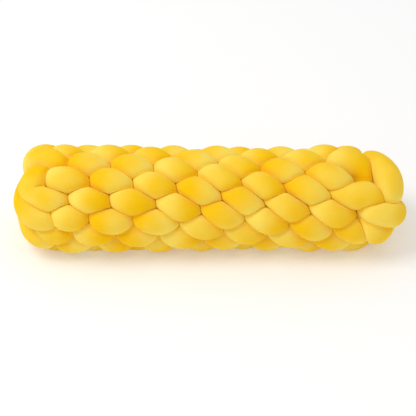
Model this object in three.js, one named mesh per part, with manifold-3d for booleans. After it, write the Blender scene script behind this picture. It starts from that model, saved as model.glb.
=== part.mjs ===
// A bolster pillow braided from four long stuffed velvet tubes.
// Three tubes are folded in half over the pillow's left end and the fourth is tucked in there, so
// seven strands make a round braid. In every layer each strand lies outside once, as a plump lobe
// along the pillow, then dives in under its neighbours and comes out again in the next layer, one
// and a half rows further round.
// The pillow lies along X on the floor Z = 0. Millimetres and degrees.
import * as THREE from 'three';
import Module from 'manifold-3d';

// The stuffed tubes
const TUBE_RADIUS = 21.5;
const TAPER = [0.25, 0.75];

// The braid's layers, and how far round a strand goes from one layer to the next
const STRAND_COUNT = 7;
const STRAND_STEP = 360 / STRAND_COUNT;
const LAYER_TURN = 1.5 * STRAND_STEP;
const FIRST_STRAND_ANGLE = -75.4;
const FIRST_LAYER_X = -291;
const LAYER_PITCH = 34.25;
const LAYER_SLANT = 5.6;

// One strand's way through one layer: how deep it dives, its surge along the pillow's axis, how
// sharply it swings aside where it dives, and how far its lobe shifts where it leans
const DIVE = 12.5;
const LOBE_ROUNDING = -2;
const SURGE = 18.5;
const SURGE_ROUNDING = -2;
const SNAP = 0.18;
const LEAN_SHIFT = LAYER_PITCH + 2 * Math.PI * SURGE;

// No two lobes are quite alike: two slow waves over the layers and strands move them a little.
const UNEVEN_WAVES = [{ along: 1.9, across: 2.4, start: 0 }, { along: 2.7, across: 1.3, start: 1 }];
const UNEVEN_ANGLE = 1.2;
const UNEVEN_X = 1.2;
const UNEVEN_RADIUS = 0.8;

// Angles count downwards from the viewed side, which looks up by the view tilt.
const AXIS_HEIGHT = 72.5;
const VIEW_TILT = 40;
const CORE_HALF_LENGTH = 235;

// How fine the solids are
const RINGS_PER_LAYER = 8;
const SIDES = 8;
const BEADS_PER_RING = 4;

// Clearances between pressed tubes, and how they give way to each other
const GAP = 1;
const LEAST_GAP = 0.4;
const LEAST_REACH = 1;
const RIM_SOFTNESS = 6;
const PRESS_REACH = 2.6 * TUBE_RADIUS;
const LINK_RINGS = 2;
const YIELD_STEP = 0.25;
const YIELDING_TIPS = 4;
const LEAST_OVERLAP = 1e-4;
const MOST_ROUNDS = 60;

// The rows wind slowly round the bolster. Lobes with less sway lie more aslant, and a lobe's
// highest place is nearer its right end where the lean is below zero.
const STATIONS = [
  { layer: -1, twist: 0, sway: 16, lean: 0.08, radius: 51.6 },
  { layer: 0, twist: 0, sway: 16, lean: 0.08, radius: 51.6 },
  { layer: 2, twist: 0.5, sway: 16, lean: 0.08, radius: 51.6 },
  { layer: 4, twist: 3.5, sway: 15, lean: 0.04, radius: 50.5 },
  { layer: 6, twist: 7, sway: 13, lean: 0, radius: 49.2 },
  { layer: 8, twist: 14.5, sway: 10, lean: -0.02, radius: 48.2 },
  { layer: 10, twist: 25.5, sway: 8, lean: -0.03, radius: 47.3 },
  { layer: 12, twist: 34, sway: 7, lean: -0.03, radius: 47.4 },
  { layer: 14, twist: 43.5, sway: 7, lean: -0.03, radius: 49.2 },
  { layer: 16, twist: 50, sway: 7, lean: -0.03, radius: 48.6 },
  { layer: 17, twist: 52, sway: 7, lean: -0.03, radius: 48.4 },
];

const STATION_VALUES = ['twist', 'sway', 'lean', 'radius'];
const table = new THREE.CubicInterpolant(
  STATIONS.map((station) => station.layer),
  STATIONS.flatMap((station) => STATION_VALUES.map((value) => station[value])),
  STATION_VALUES.length,
);

// A place is given by its x, its angle from the viewed side, downwards, and its distance to the axis.
function place(x, angle, radius) {
  const turn = THREE.MathUtils.degToRad(VIEW_TILT - angle);
  return new THREE.Vector3(x, -radius * Math.cos(turn), AXIS_HEIGHT + radius * Math.sin(turn));
}

// The regular braid: layer 3.0 is the middle of a strand's third lobe.
function onBraid(strand, layer) {
  const [twist, sway, lean, radius] = table.evaluate(layer);
  const wave = 2 * Math.PI * layer;
  const [uneven, unevenToo] = UNEVEN_WAVES.map(({ along, across, start }) =>
    Math.sin(along * layer + across * strand + start));
  const swing = sway * (Math.sin(wave) - SNAP * Math.sin(2 * wave));
  const turn = STRAND_STEP * strand + LAYER_TURN * layer + twist - swing;
  const angle = FIRST_STRAND_ANGLE + turn + UNEVEN_ANGLE * uneven;
  const surge = SURGE * Math.sin(wave) + SURGE_ROUNDING * Math.sin(2 * wave);
  const shift = LEAN_SHIFT * lean + LAYER_SLANT * Math.sin(THREE.MathUtils.degToRad(angle));
  const depth = wave + 2 * Math.PI * lean;
  const height = DIVE * Math.cos(depth) + LOBE_ROUNDING * Math.cos(2 * depth) + UNEVEN_RADIUS * unevenToo;
  const x = FIRST_LAYER_X + LAYER_PITCH * layer + surge + shift + UNEVEN_X * unevenToo;
  return place(x, angle, radius + height);
}

// The strands in the order of their rows. Each joins the braid at one layer, leaves it at another,
// and runs on through its finish, given as x, angle and distance to the axis, to its tucked end.
const STRANDS = [
  {
    joins: 1,
    leaves: 15.75,
    finish: [
      [250, 127, 60], [264, 122, 58.5], [275, 116, 47], [277, 108, 31], [269, 104, 18], [257, 104, 13],
    ],
  },
  {
    joins: 1.28,
    leaves: 15.75,
    finish: [
      [250, 179, 60], [265, 176, 58], [276, 172, 46], [278, 168, 30], [269, 166, 17], [256, 166, 13],
    ],
  },
  {
    joins: 1,
    leaves: 15.75,
    finish: [
      [250, 231, 60], [265, 231, 58], [276, 230, 46], [278, 228, 30], [269, 226, 17], [256, 226, 13],
    ],
  },
  {
    joins: 0.3,
    leaves: 15.4,
    finish: [
      [248, -120, 42], [249, -108, 48], [252, -97, 53], [257, -84, 54], [263, -69, 54.5],
      [270, -53, 55.5], [277, -36, 57], [280, -18, 57], [278, -4, 50], [273, 5, 38], [265, 12, 26],
    ],
  },
  {
    joins: 0.3,
    leaves: 15.1,
    finish: [
      [236, -95, 52], [240, -89, 42], [246, -80, 31], [252, -68, 20], [254, -55, 12],
    ],
  },
  {
    joins: 0.3,
    leaves: 14.85,
    finish: [
      [207, -61, 63.5], [219, -59, 64.5], [231, -56, 61], [241, -50, 53], [246, -38, 44],
      [246, -25, 35], [241, -10, 33], [240, 5, 39], [246, 14, 51], [257, 19, 59.5], [269, 21, 61],
      [280, 24, 57], [286, 28, 46], [285, 31, 32], [276, 32, 24],
    ],
  },
  {
    joins: 1.3,
    leaves: 14.8,
    finish: [
      [203, -7, 55.5], [214, -4, 60], [227, -3, 62], [240, -4, 61.5], [252, -2, 58.5], [261, 5, 50],
      [261, 18, 41], [251, 31, 41], [246, 41, 51], [251, 49, 60], [259, 54, 61], [266, 58, 54],
      [269, 61, 42], [268, 63, 31], [261, 65, 23],
    ],
  },
];

// A folded tube gives two strands, and its bight is the fold over the left end, from the first to
// the second of them. The last tube gives one strand, and its bight is that strand's tucked end.
// The points are again x, angle and distance to the axis.
const TUBES = [
  {
    name: 'tube_front',
    strands: [1, 0],
    bight: [
      [-229, 56, 55.5], [-239, 56, 61.5], [-250, 52, 59.5], [-261, 41, 48], [-265, 22, 35],
      [-261, -2, 31], [-255, -24, 37], [-256, -37, 47], [-263, -39, 52], [-271, -30, 53.5],
      [-275.5, -18, 54.5], [-274.5, -6, 57], [-265, 0, 59.5],
    ],
  },
  {
    name: 'tube_upper',
    strands: [2, 6],
    bight: [
      [-260, 93, 53], [-261, 80, 43], [-256, 64, 36], [-249, 47, 42], [-247, 36, 53], [-256, 30, 60],
      [-268, 26, 60.5], [-277, 20, 58], [-283, 11, 50], [-284, -8, 38], [-281, -45, 28],
      [-274, -82, 34], [-268, -100, 45], [-269, -92, 55], [-267, -77, 60.5], [-255, -69, 62],
      [-241, -61, 61],
    ],
  },
  {
    name: 'tube_lower',
    strands: [3, 5],
    bight: [
      [-255, 76, 57], [-265, 68, 60], [-273, 70, 53], [-280.5, 86, 40], [-286, 108, 27],
      [-289, 132, 22], [-290, 156, 28], [-288, 172, 41], [-283, 180, 52], [-274, 183, 59.5],
      [-262, 187, 57.5],
    ],
  },
  {
    name: 'tube_back',
    strands: [4],
    bight: [
      [-262, 134, 57.5], [-273, 129, 60], [-283, 126, 55], [-288, 126, 43],
    ],
  },
];

const fromTable = (points) => points.map(([x, angle, radius]) => place(x, angle, radius));

function strandPoints(number) {
  const { joins, leaves, finish } = STRANDS[number];
  const points = [];
  const first = Math.ceil(joins * RINGS_PER_LAYER);
  const last = Math.floor(leaves * RINGS_PER_LAYER);
  for (let ring = first; ring <= last; ring++) {
    points.push(onBraid(number, ring / RINGS_PER_LAYER));
  }
  return points.concat(fromTable(finish));
}

// The tube's centre line, one control point for each ring of the solid.
function centreLine(tube) {
  const [one, other] = tube.strands;
  const points = [...strandPoints(one).reverse(), ...fromTable(tube.bight)];
  if (other !== undefined) points.push(...strandPoints(other));
  return { curve: new THREE.CatmullRomCurve3(points), rings: points.length };
}

function beadsOf(line) {
  return line.curve.getPoints((line.rings - 1) * BEADS_PER_RING);
}

// Outwards, from the nearest point of the bolster's core
function outwards(point) {
  const core = new THREE.Vector3(
    THREE.MathUtils.clamp(point.x, -CORE_HALF_LENGTH, CORE_HALF_LENGTH), 0, AXIS_HEIGHT);
  return point.clone().sub(core).normalize();
}

// How far the tube swells in one direction before the nearest bead's tube presses back
function swell(centre, direction, limit, beads) {
  let nearest = Infinity;
  const way = new THREE.Vector3();
  for (const bead of beads) {
    way.subVectors(bead, centre);
    const square = way.lengthSq();
    const ahead = way.dot(direction);
    if (ahead <= 0 || square > PRESS_REACH ** 2) continue;
    nearest = Math.min(nearest, square / (2 * ahead));
  }
  nearest = Math.max(nearest - GAP / 2, LEAST_REACH);
  return (nearest ** -RIM_SOFTNESS + limit ** -RIM_SOFTNESS) ** (-1 / RIM_SOFTNESS);
}

// The rings of one tube, each a centre with spokes. The floor flattens what reaches below it.
function ringsOf(line, beads) {
  const rings = [];
  const last = line.rings - 1;
  for (let ring = 0; ring <= last; ring++) {
    const at = ring / last;
    const centre = line.curve.getPoint(at);
    const along = line.curve.getTangent(at);
    const up = outwards(centre);
    up.addScaledVector(along, -up.dot(along)).normalize();
    const side = new THREE.Vector3().crossVectors(along, up);
    const limit = TUBE_RADIUS * (TAPER[Math.min(ring, last - ring)] ?? 1);
    const spokes = [];
    for (let j = 0; j < SIDES; j++) {
      const turn = ((j + 0.5) * 2 * Math.PI) / SIDES;
      const direction = up.clone().multiplyScalar(Math.cos(turn)).addScaledVector(side, Math.sin(turn));
      const floor = direction.z < 0 ? centre.z / -direction.z : Infinity;
      spokes.push({ direction, floor, reach: swell(centre, direction, limit, beads) });
    }
    rings.push({ centre, spokes });
  }
  return rings;
}

// A spoke's tip, with some more reach where the floor leaves room
function tip(centre, spoke, more = 0) {
  const reach = Math.min(spoke.reach + more, spoke.floor);
  return centre.clone().addScaledVector(spoke.direction, reach);
}

// A closed skin over a run of rings
function skin(rings, more = 0) {
  const positions = [];
  const triangles = [];
  const corner = (ring, j) => ring * SIDES + (j % SIDES);
  const end = rings.length - 1;
  rings.forEach(({ centre, spokes }, ring) => {
    for (let j = 0; j < SIDES; j++) {
      positions.push(...tip(centre, spokes[j], more).toArray());
      if (ring < end) {
        triangles.push(corner(ring, j), corner(ring, j + 1), corner(ring + 1, j));
        triangles.push(corner(ring, j + 1), corner(ring + 1, j + 1), corner(ring + 1, j));
      }
    }
  });
  for (let j = 1; j + 1 < SIDES; j++) {
    triangles.push(corner(0, 0), corner(0, j + 1), corner(0, j));
    triangles.push(corner(end, 0), corner(end, j), corner(end, j + 1));
  }
  return { positions, triangles };
}

// Short lengths of tube that share their end rings, to find where tubes press through each other
function linksOf(tubes) {
  const links = [];
  tubes.forEach((rings, tube) => {
    for (let start = 0; start + 1 < rings.length; start += LINK_RINGS) {
      links.push({ tube, start, rings: rings.slice(start, start + LINK_RINGS + 1) });
    }
  });
  return links;
}

function solidOf(link) {
  const { positions, triangles } = skin(link.rings, LEAST_GAP / 2);
  const vertProperties = new Float32Array(positions);
  const triVerts = new Uint32Array(triangles);
  return new wasm.Manifold(new wasm.Mesh({ numProp: 3, vertProperties, triVerts }));
}

// The spokes whose tips lie nearest to a place where two links overlap are marked to give way.
function yieldNear(link, places) {
  const tips = link.rings.flatMap(({ centre, spokes }) =>
    spokes.map((spoke) => ({ spoke, end: tip(centre, spoke) })));
  for (const spot of places) {
    for (const one of tips) one.away = one.end.distanceToSquared(spot);
    tips.sort((one, other) => one.away - other.away);
    for (const { spoke } of tips.slice(0, YIELDING_TIPS)) spoke.yielding = true;
  }
}

function overlapPlaces(one, other) {
  const common = one.intersect(other);
  const places = [];
  if (common.volume() > LEAST_OVERLAP) {
    const { vertProperties } = common.getMesh();
    for (let i = 0; i < vertProperties.length; i += 3) {
      places.push(new THREE.Vector3().fromArray(vertProperties, i));
    }
  }
  common.delete();
  return places;
}

function boxesMeet(one, other) {
  return [0, 1, 2].every((axis) => one.min[axis] < other.max[axis] && other.min[axis] < one.max[axis]);
}

// Tubes that press on each other give way a little at a time until none overlaps another.
function settle(tubes) {
  const links = linksOf(tubes);
  let pairs = null;
  for (let round = 0; round < MOST_ROUNDS; round++) {
    const solids = links.map(solidOf);
    const boxes = solids.map((solid) => solid.boundingBox());
    if (!pairs) {
      pairs = [];
      for (let i = 0; i < links.length; i++) {
        for (let j = i + 1; j < links.length; j++) {
          if (boxesMeet(boxes[i], boxes[j])) pairs.push([i, j]);
        }
      }
    }
    pairs = pairs.filter(([i, j]) => {
      const places = overlapPlaces(solids[i], solids[j]);
      yieldNear(links[i], places);
      yieldNear(links[j], places);
      return places.length > 0;
    });
    solids.forEach((solid) => solid.delete());
    if (pairs.length === 0) break;
    for (const rings of tubes) {
      for (const { spokes } of rings) {
        for (const spoke of spokes) {
          if (spoke.yielding) spoke.reach = Math.max(spoke.reach - YIELD_STEP, LEAST_REACH);
          spoke.yielding = false;
        }
      }
    }
  }
}

function tubeGeometry(rings) {
  const { positions, triangles } = skin(rings);
  const geometry = new THREE.BufferGeometry();
  geometry.setAttribute('position', new THREE.Float32BufferAttribute(positions, 3));
  geometry.setIndex(triangles);
  geometry.computeVertexNormals();
  return geometry;
}

const velvet = new THREE.MeshStandardMaterial({ color: 0xf4c824, roughness: 0.9, metalness: 0 });

const wasm = await Module();
wasm.setup();

const lines = TUBES.map(centreLine);
const beads = lines.flatMap(beadsOf);
const tubes = lines.map((line) => ringsOf(line, beads));
settle(tubes);

const bolster = new THREE.Group();
TUBES.forEach(({ name }, i) => {
  const mesh = new THREE.Mesh(tubeGeometry(tubes[i]), velvet.clone());
  mesh.name = name;
  bolster.add(mesh);
});

// The pillow's box is centred over the origin.
const middle = new THREE.Box3().setFromObject(bolster).getCenter(new THREE.Vector3());
bolster.children.forEach((mesh) => mesh.position.set(-middle.x, -middle.y, 0));

export default bolster;
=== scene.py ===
# %% [markdown]
# # A bolster pillow braided from velvet tubes
# The real pillow is made from four long covers of stretch velvet, each sewn into a tube and filled
# with fibre. Three of the tubes are folded over one end of the pillow and the fourth is tucked in
# there, which gives seven strands, and the strands are braided round and round into a thick, bumpy
# roll. The plain solids of the four tubes are loaded first. They say how large the pillow is and
# where it lies, and every soft piece made below takes the place of one of them.

# %% The pillow's frame
import math

import bmesh
import bpy
import numpy as np
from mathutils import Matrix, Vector, kdtree


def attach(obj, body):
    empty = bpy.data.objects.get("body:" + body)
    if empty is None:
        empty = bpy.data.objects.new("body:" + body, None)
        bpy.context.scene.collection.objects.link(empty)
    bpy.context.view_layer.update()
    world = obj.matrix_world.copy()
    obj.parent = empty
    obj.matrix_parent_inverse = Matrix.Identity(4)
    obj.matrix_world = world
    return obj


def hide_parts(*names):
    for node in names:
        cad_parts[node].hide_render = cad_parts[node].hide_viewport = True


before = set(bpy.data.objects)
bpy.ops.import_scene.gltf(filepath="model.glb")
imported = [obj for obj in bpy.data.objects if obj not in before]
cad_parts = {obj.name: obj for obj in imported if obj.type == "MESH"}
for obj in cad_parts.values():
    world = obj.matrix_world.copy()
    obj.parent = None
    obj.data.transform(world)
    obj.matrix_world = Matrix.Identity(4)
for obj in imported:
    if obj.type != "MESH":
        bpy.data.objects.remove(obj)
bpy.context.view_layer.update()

print("solids:", sorted(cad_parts))

# %% [markdown]
# ## Camera
# The pillow lies along the picture and is seen from 40 degrees above. A near camera with a short
# lens would swell the middle of the pillow and shrink its ends, so this one has a long lens and
# stands far away. The pillow sits just above the picture's middle. Tipping the camera would do that
# too, but it would also skew the view a little, so the picture is shifted down instead.

# %% Camera
AXIS_HEIGHT = 0.0725
VIEW_TILT = math.radians(40)
VIEW_DISTANCE = 2.4
LENS_MM = 130
SENSOR_MM = 36
PICTURE_PIXELS = 416
PIXELS_ABOVE_MIDDLE = 9.5

pillow_middle = Vector((0, 0, AXIS_HEIGHT))
towards_camera = Vector((0, -math.cos(VIEW_TILT), math.sin(VIEW_TILT)))

camera_data = bpy.data.cameras.new("camera")
camera_data.lens = LENS_MM
camera_data.sensor_width = SENSOR_MM
camera_data.shift_y = -PIXELS_ABOVE_MIDDLE / PICTURE_PIXELS
camera = bpy.data.objects.new("camera", camera_data)
camera.location = pillow_middle + VIEW_DISTANCE * towards_camera
camera.rotation_euler = (-towards_camera).to_track_quat("-Z", "Y").to_euler()
bpy.context.scene.collection.objects.link(camera)
bpy.context.scene.camera = camera
pixel = 1000 * SENSOR_MM * VIEW_DISTANCE / LENS_MM / PICTURE_PIXELS
print("one pixel at the pillow is", round(pixel, 2), "mm")

# %% [markdown]
# ## How one strand runs through the braid
# A layer is one step of the braid along the pillow. In each layer a strand comes out once, as a
# plump lobe, and dives under its neighbours once. There are about a hundred lobes, and each could
# be set by hand, but a braid repeats itself. So one formula with a few sizes gives a strand's place
# at any layer, and whole layers are the middles of its lobes.
#
# - The dive is how far it goes in and out, and the surge how far a lobe reaches along the pillow.
# - In each layer it goes one and a half rows round the pillow. The sway says how much of that it
#   does while it is under its neighbours, and the snap how quickly.
# - The lean makes a lobe rise early or late, which leaves it fuller at one end, and the lean's shift
#   puts it back in its place.
# - The slant sets each layer a little askew: its lobes low on the pillow lie further along than
#   those near the top.

# %% Sizes of the braid, in metres and degrees
TUBE_RADIUS = 0.0208
STRAND_COUNT = 7
STRAND_STEP = 360 / STRAND_COUNT
ROWS_PER_LAYER = 1.5
LAYER_TURN = ROWS_PER_LAYER * STRAND_STEP
FIRST_STRAND_ANGLE = -75.4
FIRST_LAYER_X = -0.2910
LAYER_PITCH = 0.03425
LAYER_SLANT = 0.0056
DIVE = 0.0137
LOBE_ROUNDING = 0.0003
SURGE = 0.0170
SURGE_ROUNDING = -0.002
SNAP = 0.18
LEAN_SHIFT = 0.11
CENTRING = np.array([0.00247, 0.00021, 0.0])
print("in each layer a strand goes", round(LAYER_TURN), "degrees round the pillow")

# %% [markdown]
# ## What changes along the braid
# The rows of lobes lie nearly along the pillow at the folded end. Towards the other end they wind
# round it more and more, and each lobe slopes with them. An even change from end to end could be
# one more size in the formula, but this one is uneven, so a short table says how the braid is at
# some stations, and a smooth curve is drawn through them.

# %% Stations along the braid
# One row for each station: its layer, the twist so far, the sway, the lean and the braid's radius
STATIONS = np.array([
    (-1, 0, 16, 0.11, 0.0516),
    (0, 0, 16, 0.11, 0.0516),
    (2, 0.5, 16, 0.11, 0.0516),
    (4, 3.5, 15, 0.09, 0.0505),
    (6, 7, 13, 0.05, 0.0492),
    (8, 14.5, 10, 0.0, 0.0482),
    (10, 25.5, 8, -0.03, 0.0473),
    (12, 34, 7, -0.03, 0.0474),
    (14, 43.5, 7, -0.03, 0.0492),
    (16, 50, 7, -0.03, 0.0486),
    (17, 52, 7, -0.03, 0.0484),
])


def through(knots, values, at):
    """A smooth curve through values at the knots, read at other places."""
    knots, values, at = np.array(knots, float), np.array(values, float), np.array(at, float)
    slopes = np.gradient(values, knots, axis=0)
    left = np.clip(np.searchsorted(knots, at, side="right") - 1, 0, len(knots) - 2)
    span = knots[left + 1] - knots[left]
    part = (at - knots[left]) / span
    if values.ndim > 1:
        span, part = span[:, None], part[:, None]
    away = 1 - part
    return (
        values[left] * away**2 * (1 + 2 * part)
        + values[left + 1] * part**2 * (3 - 2 * part)
        + slopes[left] * span * part * away**2
        - slopes[left + 1] * span * away * part**2
    )


middle_station = through(STATIONS[:, 0], STATIONS[:, 1:], [7.5])[0]
print("twist, sway, lean and radius halfway along:", middle_station.round(4).tolist())

# %% [markdown]
# ## Lobes that are not quite alike
# No two lobes of a real pillow are the same. Random numbers would show that too, but they can put
# two neighbours at odds, so two slow waves turn, move and thicken the lobes by about a millimetre.
# A few places near the folded end were pulled or tucked more than that when the braid was made.
# They are listed one by one.

# %% Uneven lobes
UNEVEN_ANGLE = 1.2
UNEVEN_X = 0.0012
UNEVEN_RADIUS = 0.0008

# One wave turns the lobes and the other moves and thickens them. Each is written as how much it
# grows from layer to layer and from strand to strand, and where it starts
TURNING_WAVE = (1.9, 2.4, 0)
MOVING_WAVE = (2.7, 1.3, 1)

# One row for each nudge: its strand, its layer, how far along the pillow it goes and how far out
NUDGES = [
    (3, 3.72, -0.004, 0.004),
    (6, 2.3, -0.006, -0.004),
    (0, 5.75, -0.003, 0.003),
    (3, 4.3, -0.003, -0.003),
    (1, 4.75, -0.003, 0.003),
    (4, 3.3, -0.003, -0.003),
]
NUDGE_LAYERS = 0.25


def slow_wave(wave, strand, layers):
    per_layer, per_strand, start = wave
    return np.sin(per_layer * layers + per_strand * strand + start)


print(len(NUDGES), "nudges of", 1000 * max(abs(row[2]) for row in NUDGES), "mm at most")

# %% The middle of a strand
def place(x, angle, radius):
    """Points in the pillow's frame. Angles count downwards from the side the camera sees."""
    turn = VIEW_TILT - np.radians(angle)
    return np.stack([x, -radius * np.cos(turn), AXIS_HEIGHT + radius * np.sin(turn)], axis=-1) + CENTRING


def on_braid(strand, layers):
    """The middle of a strand at the given layers."""
    twist, sway, lean, radius = through(STATIONS[:, 0], STATIONS[:, 1:], layers).T
    turning = slow_wave(TURNING_WAVE, strand, layers)
    moving = slow_wave(MOVING_WAVE, strand, layers)
    wave = 2 * math.pi * layers
    angle = FIRST_STRAND_ANGLE + STRAND_STEP * strand + LAYER_TURN * layers + twist
    angle = angle - sway * (np.sin(wave) - SNAP * np.sin(2 * wave))
    angle = angle + UNEVEN_ANGLE * turning
    x = FIRST_LAYER_X + LAYER_PITCH * layers + SURGE * np.sin(wave) + SURGE_ROUNDING * np.sin(2 * wave)
    x = x + LEAN_SHIFT * lean + LAYER_SLANT * np.sin(np.radians(angle)) + UNEVEN_X * moving
    wave = wave + 2 * math.pi * lean
    radius = radius + DIVE * np.cos(wave) + LOBE_ROUNDING * np.cos(2 * wave) + UNEVEN_RADIUS * moving
    for nudged, layer, along, out in NUDGES:
        if nudged == strand:
            share = np.exp(-(((layers - layer) / NUDGE_LAYERS) ** 2))
            x = x + along * share
            radius = radius + out * share
    return place(x, angle, radius)


first_lobes = on_braid(0, np.array([1.0, 2.0, 3.0]))
print("a strand's first lobes, in mm:", np.round(1000 * first_lobes).tolist())

# %% [markdown]
# ## The two ends
# At the left end three tubes are bent into a fold, called a bight, and the fourth tube starts there,
# tucked in. At the right end all seven strands are tucked in. No formula gives these, because
# whoever braids the pillow lays them by hand. A simulated rope could be pulled tight here, but it
# would not keep the order of the folds. So they are short lists of points, each an x, an angle and
# a distance to the pillow's axis.

# %% The strands' ends and the tubes' bights
# One row for each strand: the layers where it joins and leaves the braid, and its tucked end
STRANDS = [
    (1.0, 15.75, [(0.250, 127, 0.060), (0.264, 122, 0.0585), (0.275, 116, 0.047), (0.277, 108, 0.031),
                  (0.269, 104, 0.018), (0.257, 104, 0.013)]),
    (1.28, 15.75, [(0.250, 179, 0.060), (0.265, 176, 0.058), (0.276, 172, 0.046), (0.278, 168, 0.030),
                   (0.269, 166, 0.017), (0.256, 166, 0.013)]),
    (1.0, 15.75, [(0.250, 231, 0.060), (0.265, 231, 0.058), (0.276, 230, 0.046), (0.278, 228, 0.030),
                  (0.269, 226, 0.017), (0.256, 226, 0.013)]),
    (0.3, 15.4, [(0.248, -120, 0.042), (0.249, -108, 0.048), (0.252, -97, 0.053), (0.257, -84, 0.054),
                 (0.263, -69, 0.0545), (0.270, -53, 0.0555), (0.277, -36, 0.057), (0.280, -18, 0.057),
                 (0.278, -4, 0.050), (0.273, 5, 0.038), (0.265, 12, 0.026)]),
    (0.3, 15.1, [(0.236, -95, 0.052), (0.240, -89, 0.042), (0.246, -80, 0.031), (0.252, -68, 0.020),
                 (0.254, -55, 0.012)]),
    (0.3, 14.85, [(0.207, -61, 0.0635), (0.219, -59, 0.0645), (0.231, -56, 0.061), (0.241, -50, 0.053),
                  (0.246, -38, 0.044), (0.246, -25, 0.035), (0.241, -10, 0.033), (0.240, 5, 0.039),
                  (0.246, 14, 0.051), (0.257, 19, 0.0595), (0.269, 21, 0.061), (0.280, 24, 0.057),
                  (0.286, 28, 0.046), (0.285, 31, 0.032), (0.276, 32, 0.024)]),
    (1.3, 14.8, [(0.203, -7, 0.0555), (0.214, -4, 0.0600), (0.227, -3, 0.0620), (0.240, -4, 0.0615),
                 (0.252, -2, 0.0585), (0.261, 5, 0.050), (0.261, 18, 0.041), (0.251, 31, 0.041),
                 (0.246, 41, 0.051), (0.251, 49, 0.060), (0.259, 54, 0.061), (0.266, 58, 0.054),
                 (0.269, 61, 0.042), (0.268, 63, 0.031), (0.261, 65, 0.023)]),
]

# One row for each tube: its two strands, and its bight from the first of them to the second. The
# last tube has one strand only, and its points lead to that strand's tucked end at the left
TUBES = {
    "tube_front": (1, 0, [
        (-0.229, 56, 0.0555), (-0.239, 56, 0.0615), (-0.250, 52, 0.0595), (-0.261, 41, 0.048),
        (-0.265, 22, 0.035), (-0.261, -2, 0.031), (-0.255, -24, 0.037), (-0.256, -37, 0.047),
        (-0.263, -39, 0.0520), (-0.271, -30, 0.0535), (-0.2755, -18, 0.0545), (-0.2745, -6, 0.0570),
        (-0.265, 0, 0.0595)]),
    "tube_upper": (2, 6, [
        (-0.260, 93, 0.053), (-0.261, 80, 0.043), (-0.256, 64, 0.036), (-0.249, 47, 0.042),
        (-0.247, 36, 0.053), (-0.256, 30, 0.060), (-0.268, 26, 0.0605), (-0.277, 20, 0.058),
        (-0.283, 11, 0.050), (-0.284, -8, 0.038), (-0.281, -45, 0.028), (-0.274, -82, 0.034),
        (-0.268, -100, 0.045), (-0.269, -92, 0.055), (-0.267, -77, 0.0605), (-0.255, -69, 0.0620),
        (-0.241, -61, 0.061)]),
    "tube_lower": (3, 5, [
        (-0.255, 76, 0.057), (-0.265, 68, 0.060), (-0.273, 70, 0.053), (-0.2805, 86, 0.040),
        (-0.286, 108, 0.027), (-0.289, 132, 0.022), (-0.290, 156, 0.028), (-0.288, 172, 0.041),
        (-0.283, 180, 0.052), (-0.274, 183, 0.0595), (-0.262, 187, 0.0575)]),
    "tube_back": (4, None, [
        (-0.262, 134, 0.0575), (-0.273, 129, 0.060), (-0.283, 126, 0.055), (-0.288, 126, 0.043)]),
}
print(len(STRANDS), "strands in", len(TUBES), "tubes")

# %% [markdown]
# ## Centre lines
# A tube's centre line runs from the tucked end of its first strand back to the left end, through
# the bight, and along the second strand, if it has one, to its tucked end. It could be a curve
# object, but the cloth needs to know each point's neighbours, so it is kept as plain points. The
# line is measured along its length, like a piece of yarn, and a point is set at each even step.
# Even steps matter, because the cloth will have one ring at each of them, and wide or crowded rings
# would show as flats.

# %% Centre lines
POINTS_PER_LAYER = 14
RING_STEP = 0.003


def strand_line(number):
    """A strand's middle, from where it joins the braid to its tucked end."""
    joins, leaves, finish = STRANDS[number]
    count = round((leaves - joins) * POINTS_PER_LAYER) + 1
    braided = on_braid(number, np.linspace(joins, leaves, count))
    return np.concatenate([braided, [place(*point) for point in finish]])


def even_steps(points, step):
    """Points at equal steps along a smooth curve through the given ones."""
    lengths = np.linalg.norm(np.diff(points, axis=0), axis=1)
    along = np.concatenate([[0], np.cumsum(lengths)])
    return through(along, points, np.linspace(0, along[-1], round(along[-1] / step) + 1))


def centre_line(name):
    """A tube's middle, from the tucked end of its first strand to its other end."""
    first, second, bight = TUBES[name]
    points = [strand_line(first)[::-1], [place(*point) for point in bight]]
    if second is not None:
        points.append(strand_line(second))
    return even_steps(np.concatenate(points), RING_STEP)


lines = {name: centre_line(name) for name in TUBES}
for name, line in lines.items():
    print(name, "is", round(RING_STEP * (len(line) - 1), 2), "m long")

# %% [markdown]
# ## Out and in
# Which of two strands lies on top shows in the shape of the cloth, and in its colour as painted shade
# and painted sheen. It is measured from the pillow's core, a straight line through its middle: a
# strand is out where it is far from the core, and in where it has dived. The core stops short of the
# two ends, so that the tubes folded over an end count as lying outside as well. One helper gives the
# way from the core to any point, and several steps below use it.

# %% How far out a strand lies
CORE_HALF_LENGTH = 0.235
HALFWAY_OUT = 0.0485


def unit(ways):
    """The same directions, each with a length of 1."""
    return ways / np.linalg.norm(ways, axis=1, keepdims=True)


def from_core(points):
    """The way to each point from the nearest place on the pillow's core."""
    core = np.array(points)
    core[:, 0] = np.clip(core[:, 0], -CORE_HALF_LENGTH, CORE_HALF_LENGTH)
    core[:, 1:] = 0, AXIS_HEIGHT
    return points - core


def outside(points):
    """1 where a strand lies outside, 0 halfway in and -1 where it has dived under its neighbours."""
    return np.clip((np.linalg.norm(from_core(points), axis=1) - HALFWAY_OUT) / DIVE, -1, 1)


all_points = np.concatenate(list(lines.values()))
all_outs = outside(all_points)
print(round(100 * float((all_outs > 0).mean())), "% of the tubes' length lies outside")

# %% [markdown]
# ## How the tubes press on each other
# A stuffed tube is round until something presses on it. Where two tubes meet, the cloth settles on
# a plane between their centre lines. It is halfway where both press alike, but a strand that lies
# outside is stretched over the one that has dived, so it takes more than half of the way and is a
# little thicker. From a tube's centre, in any direction, the cloth reaches its full radius or that
# plane for the nearest neighbour, whichever comes first, with a soft rim between the two.
#
# A cloth simulation could find this, but strands this tangled touch nearly everywhere, and it would
# take far too long. The rule gives the same pressed faces, plump lobes and dark pits in seconds.

# %% Spokes round a centre line
SIDES = 44


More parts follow.
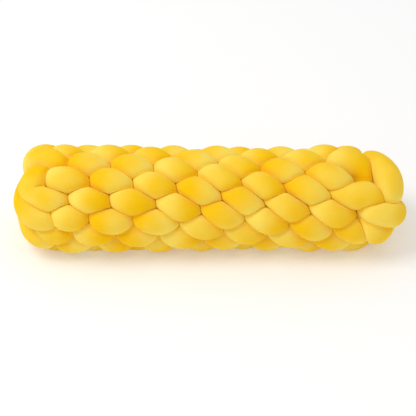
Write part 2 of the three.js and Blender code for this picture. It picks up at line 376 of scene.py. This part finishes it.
def ring_directions(line):
    """Spokes round each point of a line, carried along it without turning about it."""
    tangents = unit(np.gradient(line, axis=0))
    turns = 2 * math.pi * np.arange(SIDES) / SIDES
    up = Vector((0, 0, 1))
    last = Vector(tangents[0])
    up = (up - up.dot(last) * last).normalized()
    spokes = []
    for tangent in tangents:
        tangent = Vector(tangent)
        up.rotate(last.rotation_difference(tangent))
        up = (up - up.dot(tangent) * tangent).normalized()
        side = tangent.cross(up)
        spokes.append(np.outer(np.cos(turns), up) + np.outer(np.sin(turns), side))
        last = tangent
    return np.array(spokes)


neighbours = kdtree.KDTree(len(all_points))
for index, point in enumerate(all_points):
    neighbours.insert(point, index)
neighbours.balance()
print(SIDES, "spokes a ring, and", len(all_points), "centre points that can press")

# %% [markdown]
# ## What the cloth knows of its neighbours
# The velvet's colour will depend on how the lobes lie, through painted shade and painted sheen, so
# two things are kept for each point of the cloth. The press is how hard a neighbour presses there: it
# is 1 where the round tube would just touch it and more where it is squeezed. The cover is how much
# further out that neighbour lies: above 0 where the cloth goes under it, and below 0 where the cloth
# lies on top. Where several neighbours are near, the nearest count most.

# %% Rings of cloth
PRESS_REACH = 0.058
PRESS_GAP = 0.0001
RIM_SOFTNESS = 7
PUSH = 0.55
SWELL = 0.12
COVER_SHARPNESS = 12

# The least reach keeps a tube from being pressed to nothing, and the other two keep a division safe
LEAST_REACH = 0.002
LEAST_AHEAD = 1e-6
LEAST_WEIGHT = 1e-9

# What part of its full radius a tube has in the first rings of its gathered ends
CLOSED_END = [0.05, 0.35, 0.55, 0.7, 0.82, 0.9, 0.96]


def pressed_reach(centre, out, spokes, limit):
    """How far the cloth reaches along each spoke, how hard a neighbour presses it there, and how
    much further out that neighbour lies than the cloth itself."""
    near = [index for _, index, _ in neighbours.find_range(centre, PRESS_REACH)]
    ways = all_points[near] - centre
    ahead = ways @ spokes.T
    push = 1 + PUSH * out
    pushes = 1 + PUSH * all_outs[near]
    share = push / (push + pushes)
    plane = ((ways**2).sum(1) * share)[:, None] / np.maximum(ahead, LEAST_AHEAD)
    plane = np.where(ahead > LEAST_AHEAD, plane, np.inf)
    weight = (limit / np.maximum(plane, LEAST_REACH)) ** COVER_SHARPNESS
    cover = (weight * (all_outs[near] - out)[:, None]).sum(0) / (weight.sum(0) + LEAST_WEIGHT)
    plane = np.maximum(plane.min(0) - PRESS_GAP / 2, LEAST_REACH)
    reach = (plane**-RIM_SOFTNESS + limit**-RIM_SOFTNESS) ** (-1 / RIM_SOFTNESS)
    return reach, limit / plane, cover


def cloth_rings(line):
    """A tube's rings of cloth, and the press and the cover at each of their points."""
    spokes = ring_directions(line)
    ends = dict(enumerate(CLOSED_END))
    outs = outside(line)
    rings, presses, covers = [], [], []
    for step, (centre, directions) in enumerate(zip(line, spokes)):
        from_end = min(step, len(line) - 1 - step)
        limit = TUBE_RADIUS * ends.get(from_end, 1) * (1 + SWELL * outs[step])
        reach, press, cover = pressed_reach(centre, outs[step], directions, limit)
        rings.append(centre + directions * reach[:, None])
        presses.append(press)
        covers.append(cover)
    return np.array(rings), np.array(presses), np.array(covers)


cloth = {name: cloth_rings(line) for name, line in lines.items()}
print("rings of cloth:", {name: len(rings) for name, (rings, _, _) in cloth.items()})

# %% [markdown]
# ## Lay of the pile
# Velvet's pile leans one way along the cloth. On a tube that rises out of the pillow and dives
# again, it leans towards the eye at one end of each lobe and away from it at the other, so one end
# looks pale and the other deep. That is painted into the colour below as a painted sheen. The tubes
# were sewn with their pile running either way. Combed hair would show this too, but it would take
# millions of hairs. It is enough to know how steeply the tube rises at each ring, and which way its
# pile runs.

# %% Which way the pile leans
PILE_SIGN = {"tube_front": -1, "tube_upper": 1, "tube_lower": 1, "tube_back": -1}


def lay_of_pile(name):
    """At each ring of a tube, how far the pile leans out of the pillow."""
    line = lines[name]
    tangents = unit(np.gradient(line, axis=0))
    return PILE_SIGN[name] * (tangents * unit(from_core(line))).sum(1)


print("steepest pile:", {name: round(float(abs(lay_of_pile(name)).max()), 2) for name in TUBES})

# %% [markdown]
# ## Sewing a tube
# Each tube starts as its maker starts it: a long flat strip of velvet, which is a grid. The strip's
# rows become the rings along the centre line, its two long edges meet and are welded into the
# tube's seam, and both ends are gathered shut. A curve with a round bevel would be quicker, but it
# would be round all over, and the pressed shape of each ring would be lost.

# %% A strip of velvet, rolled up
def rolled_strip(rings, kept):
    """A grid of velvet whose rows are laid on the rings, with what is kept for each of its points.
    Its map is in metres, round the tube and along it, so that a weave could follow the cloth."""
    strip = bmesh.new()
    uv = strip.loops.layers.uv.new("cloth")
    layers = {key: strip.verts.layers.float.new(key) for key in kept}
    steps = len(rings) - 1
    bmesh.ops.create_grid(strip, x_segments=SIDES, y_segments=steps, size=0.5, calc_uvs=True)
    for vert in strip.verts:
        across = round((vert.co.x + 0.5) * SIDES) % SIDES
        along = round((vert.co.y + 0.5) * steps)
        vert.co = rings[along, across]
        for key, layer in layers.items():
            vert[layer] = kept[key][along, across]
    length = RING_STEP * steps
    girth = 2 * math.pi * TUBE_RADIUS
    for face in strip.faces:
        face.smooth = True
        for loop in face.loops:
            loop[uv].uv = (loop[uv].uv.x * girth, loop[uv].uv.y * length)
    return strip


print("a strip is", round(2000 * math.pi * TUBE_RADIUS), "mm wide")

# %% Seam and gathered ends
WELD_DISTANCE = 1e-6
SMOOTHING = 0.4


def sew_shut(strip):
    """Welds the long edges, gathers the ends shut, eases the cloth and rests it on the floor."""
    bmesh.ops.remove_doubles(strip, verts=strip.verts, dist=WELD_DISTANCE)
    gathered = [edge for edge in strip.edges if edge.is_boundary]
    bmesh.ops.holes_fill(strip, edges=gathered, sides=0)
    bmesh.ops.smooth_vert(
        strip, verts=strip.verts, factor=SMOOTHING, use_axis_x=True, use_axis_y=True, use_axis_z=True)
    for vert in strip.verts:
        vert.co.z = max(vert.co.z, 0)
    bmesh.ops.recalc_face_normals(strip, faces=strip.faces)
    strip.normal_update()


def mark_flanks(tube):
    """Keeps how far the cloth has turned: 0 where it faces out of the pillow, 1 down in a crease."""
    flank = tube.verts.layers.float.new("flank")
    outward = unit(from_core(np.array([vert.co for vert in tube.verts])))
    normals = np.array([vert.normal for vert in tube.verts])
    facing = (normals * outward).sum(1)
    for vert, share in zip(tube.verts, facing):
        vert[flank] = 1 - max(share, 0)


print("a seam joins points less than", WELD_DISTANCE, "m apart")

# %% The four tubes
def as_object(name, shape):
    """The finished shape as an object of the scene."""
    mesh = bpy.data.meshes.new(name)
    shape.to_mesh(mesh)
    shape.free()
    made = bpy.data.objects.new(name, mesh)
    bpy.context.scene.collection.objects.link(made)
    return made


def braided_tube(name):
    """One stuffed tube of velvet, which stands for the plain solid of that name."""
    rings, press, cover = cloth[name]
    pile = np.repeat(lay_of_pile(name)[:, None], SIDES, axis=1)
    tube = rolled_strip(rings, {"press": press, "cover": cover, "pile": pile})
    sew_shut(tube)
    mark_flanks(tube)
    piece = as_object(name + "_velvet", tube)
    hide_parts(name)
    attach(piece, "root")
    return piece


pieces = [braided_tube(name) for name in TUBES]
for piece in pieces:
    print(piece.name, "has", len(piece.data.polygons), "faces")

# %% [markdown]
# ## Shader maths
# The velvet's colour is worked out by nodes. They could be set and linked one by one, but sums of
# them are hard to read that way. This small class wraps an output socket, so that sums and products
# of sockets are written as plain expressions, and one method adds any other node.

# %% A wire between nodes
# A Mix node has its sockets once for each kind of value; these are the ones of a mix of colours
MIX_FACTOR, MIX_FROM, MIX_TO, MIX_COLOUR = 0, 6, 7, 2


class Wire:
    """The output of a node, or the start of a tree's wires where it has no socket yet."""

    def __init__(self, tree, socket=None):
        self.tree = tree
        self.socket = socket

    def node(self, kind, settings=None, inputs=None, output=0):
        """Adds a node, with its settings first and then the values or links of its sockets."""
        made = self.tree.nodes.new(kind)
        for key, value in (settings or {}).items():
            setattr(made, key, value)
        for key, value in (inputs or {}).items():
            if isinstance(value, Wire):
                self.tree.links.new(value.socket, made.inputs[key])
            else:
                made.inputs[key].default_value = value
        return Wire(self.tree, made.outputs[output])

    def maths(self, operation, *values):
        return self.node("ShaderNodeMath", {"operation": operation}, dict(enumerate(values)))

    def between(self, low, high):
        """0 below low, 1 above high, and a smooth change between them."""
        settings = {"interpolation_type": "SMOOTHSTEP"}
        return self.node("ShaderNodeMapRange", settings, {"Value": self, "From Min": low, "From Max": high})

    def mix(self, first, second):
        """The first colour where this value is 0, the second where it is 1."""
        inputs = {MIX_FACTOR: self, MIX_FROM: first, MIX_TO: second}
        return self.node("ShaderNodeMix", {"data_type": "RGBA"}, inputs, output=MIX_COLOUR)

    def __add__(self, other):
        return self.maths("ADD", self, other)

    def __mul__(self, other):
        return self.maths("MULTIPLY", self, other)

    def __sub__(self, other):
        return self.maths("SUBTRACT", self, other)

    def __rsub__(self, other):
        return self.maths("SUBTRACT", other, self)

    __radd__ = __add__
    __rmul__ = __mul__


print("wires can be added, taken away and multiplied")

# %% A new material
def new_material(name, finish):
    """A material, with the values that are the same all over it set on its shader."""
    material = bpy.data.materials.new(name)
    material.use_nodes = True
    shader = material.node_tree.nodes["Principled BSDF"]
    for socket, value in finish.items():
        shader.inputs[socket].default_value = value
    return material


def feed(material, socket, wire):
    """Leads a wire into the material's shader."""
    shader = material.node_tree.nodes["Principled BSDF"]
    material.node_tree.links.new(wire.socket, shader.inputs[socket])


print("a material starts from one Principled shader")

# %% [markdown]
# ## Velvet
# Velvet is dull where it is looked at head on and pale where the pile is seen from the side, which
# is the shader's sheen. Light goes a little way into the pile, which is its subsurface. The pile
# itself is a very fine bump.
#
# Its gold isn't even, and most of that is painted light. A painted sheen makes a lobe pale along a
# rim that lies on top of a neighbour, and on its steep flanks. A painted shade makes it deep where it
# goes under one, and a painted sheen makes it pale at one end and deep at the other by the lay of its
# pile. Here and there the pile has been brushed the other way, which is the velvet's own uneven tone.
# A picture of velvet would be smeared along the tubes, and light painted into a picture would be wrong
# from the other sides, so all of this is worked out from what is kept for each point of the cloth.

# %% Pale and deep gold, with painted sheen and painted shade
# Painted sheen and the velvet's own brushed patches turn the deep gold towards this pale gold
PALE_GOLD = (0.95, 0.73, 0.13, 1)
DEEP_GOLD = (0.92, 0.545, 0.003, 1)
# Painted shade: a deeper gold where a lobe goes under its neighbour
PAINTED_SHADE_GOLD = (0.90, 0.51, 0.002, 1)

# How much each thing adds to the pale gold: painted sheen by rim, flank and pile, and brushed patches
RIM_PAINTED_SHEEN = 0.6
FLANK_PAINTED_SHEEN = 0.3
BRUSH_PALE = 0.8
PILE_PAINTED_SHEEN = 0.6
BASE_PALE = 0.35

# Where each thing starts and where it is complete, as a press or a cover
NEIGHBOUR_NEAR = (0.45, 1.05)
NEIGHBOUR_OVER = (-0.2, 1.2)
RIM_PRESSED = (0.70, 1.0)
RIM_ON_TOP = (-0.2, 1.0)

# The size of the brushed patches: about 22 to a metre
BRUSHED_PATCHES = {"Scale": 22, "Detail": 1, "Roughness": 0.5}
EVEN_BRUSHING = 0.5


def kept_value(start, name):
    """What is kept for each point of the cloth under that name."""
    return start.node("ShaderNodeAttribute", {"attribute_name": name}, output="Fac")


def velvet_gold(start, here):
    """The velvet's colour, from the way the cloth lies under and over its neighbours: painted sheen
    and brushed patches make it pale, and painted shade makes it deep under a neighbour.
    """
    press = kept_value(start, "press")
    cover = kept_value(start, "cover")
    flank = kept_value(start, "flank")
    pile = kept_value(start, "pile")
    brushed = start.node("ShaderNodeTexNoise", inputs={"Vector": here, **BRUSHED_PATCHES})
    # Painted sheen along a rim that lies on top of a neighbour
    painted_rim_sheen = press.between(*RIM_PRESSED) * (0 - cover).between(*RIM_ON_TOP)
    # Painted sheen on steep flanks and along rims on top, with the velvet's own brushed patches
    pale = painted_rim_sheen * RIM_PAINTED_SHEEN + flank * FLANK_PAINTED_SHEEN + (brushed - EVEN_BRUSHING) * BRUSH_PALE
    # Painted sheen at the end of each lobe where the pile leans towards the eye
    pale = (pale + pile * PILE_PAINTED_SHEEN + BASE_PALE).between(0, 1)
    # Painted shade where the cloth goes under a neighbour that presses on it
    painted_shade_under = press.between(*NEIGHBOUR_NEAR) * cover.between(*NEIGHBOUR_OVER)
    return painted_shade_under.mix(pale.mix(DEEP_GOLD, PALE_GOLD), PAINTED_SHADE_GOLD)


print("deep gold", DEEP_GOLD[:3], "and pale gold", PALE_GOLD[:3])

# %% [markdown]
# ## Light in the creases
# In a crease light passes from pile to pile, and each pass leaves it a deeper yellow, so the real
# creases are warm and golden where a plain surface would go dark and dull. Fibres in their thousands
# would show this, but a faint glow stands for it more simply. It is kept to the creases: the pits
# where three lobes meet stay dark.

# %% Glow of the creases
CREASE_GLOW = (0.42, 0.345, 0.008, 1)
NO_GLOW = (0, 0, 0, 1)

# Where a crease and where a pit start and are complete, as a press
CREASE_PRESSED = (0.92, 1.08)
PIT_PRESSED = (1.3, 1.8)


def crease_glow(start):
    """The light that passes from pile to pile in the creases."""
    press = kept_value(start, "press")
    crease = press.between(*CREASE_PRESSED) - press.between(*PIT_PRESSED)
    return crease.mix(NO_GLOW, CREASE_GLOW)


print("glow of the creases", CREASE_GLOW[:3])

# %% The velvet
VELVET_FINISH = {
    "Roughness": 0.85,
    "Specular IOR Level": 0.05,
    "Sheen Weight": 0.3,
    "Sheen Roughness": 0.38,
    "Sheen Tint": (1.0, 0.86, 0.38, 1),
    "Subsurface Weight": 0.3,
    "Subsurface Radius": (0.012, 0.007, 0.002),
    "Subsurface Scale": 1.0,
    "Emission Strength": 0.26,
}
PILE_TUFTS = {"Scale": 1400, "Detail": 2}
PILE_BUMP = {"Strength": 0.35, "Distance": 0.0004}


def velvet_material():
    material = new_material("velvet", VELVET_FINISH)
    start = Wire(material.node_tree)
    here = start.node("ShaderNodeTexCoord", output="Object")
    feed(material, "Base Color", velvet_gold(start, here))
    feed(material, "Emission Color", crease_glow(start))
    tufts = start.node("ShaderNodeTexNoise", inputs={"Vector": here, **PILE_TUFTS})
    bump = start.node("ShaderNodeBump", inputs={"Height": tufts, **PILE_BUMP}, output="Normal")
    feed(material, "Normal", bump)
    return material


velvet = velvet_material()
for piece in pieces:
    piece.data.materials.append(velvet)
print(velvet.name, "has", len(velvet.node_tree.nodes), "nodes")

# %% [markdown]
# ## Floor and light
# The pillow lies on a plain, nearly white floor in soft light. Three or four lamps could surround
# it, as in a studio, but pale surroundings fill the shadows as well and need no placing. One wide
# lamp hangs above, to the left and a little towards the camera, and shapes the lobes. A real studio
# floor gets light from all round, also close to the pillow, so that its shadow stays pale there. A
# faint light of the floor's own stands for that. Colours are shown as they are, without the softer
# look that Blender starts with, which would turn the gold pale.

# %% Floor
FLOOR_SIZE = 8
FLOOR_FINISH = {
    "Base Color": (0.8, 0.8, 0.8, 1),
    "Roughness": 0.9,
    "Specular IOR Level": 0.1,
    "Emission Color": (1, 1, 1, 1),
    "Emission Strength": 0.2,
}

floor_shape = bmesh.new()
bmesh.ops.create_grid(floor_shape, x_segments=1, y_segments=1, size=FLOOR_SIZE / 2)
floor = as_object("floor", floor_shape)
floor.data.materials.append(new_material("pale floor", FLOOR_FINISH))
print("the floor is", FLOOR_SIZE, "m wide")

# %% Light
SURROUNDINGS_COLOUR = (1, 1, 1, 1)
SURROUNDINGS_STRENGTH = 0.73
LAMP_POWER = 36
LAMP_SIZE = 1.6
LAMP_PLACE = (-1.5, -0.5, 2.6)

surroundings = bpy.data.worlds.new("studio")
surroundings.use_nodes = True
background = surroundings.node_tree.nodes["Background"]
background.inputs["Color"].default_value = SURROUNDINGS_COLOUR
background.inputs["Strength"].default_value = SURROUNDINGS_STRENGTH
bpy.context.scene.world = surroundings

lamp_data = bpy.data.lights.new("lamp", "AREA")
lamp_data.energy = LAMP_POWER
lamp_data.size = LAMP_SIZE
lamp = bpy.data.objects.new("lamp", lamp_data)
lamp.location = LAMP_PLACE
lamp.rotation_euler = (pillow_middle - lamp.location).to_track_quat("-Z", "Y").to_euler()
bpy.context.scene.collection.objects.link(lamp)
bpy.context.scene.view_settings.view_transform = "Standard"
print("the lamp is", LAMP_SIZE, "m wide and gives", LAMP_POWER, "W")
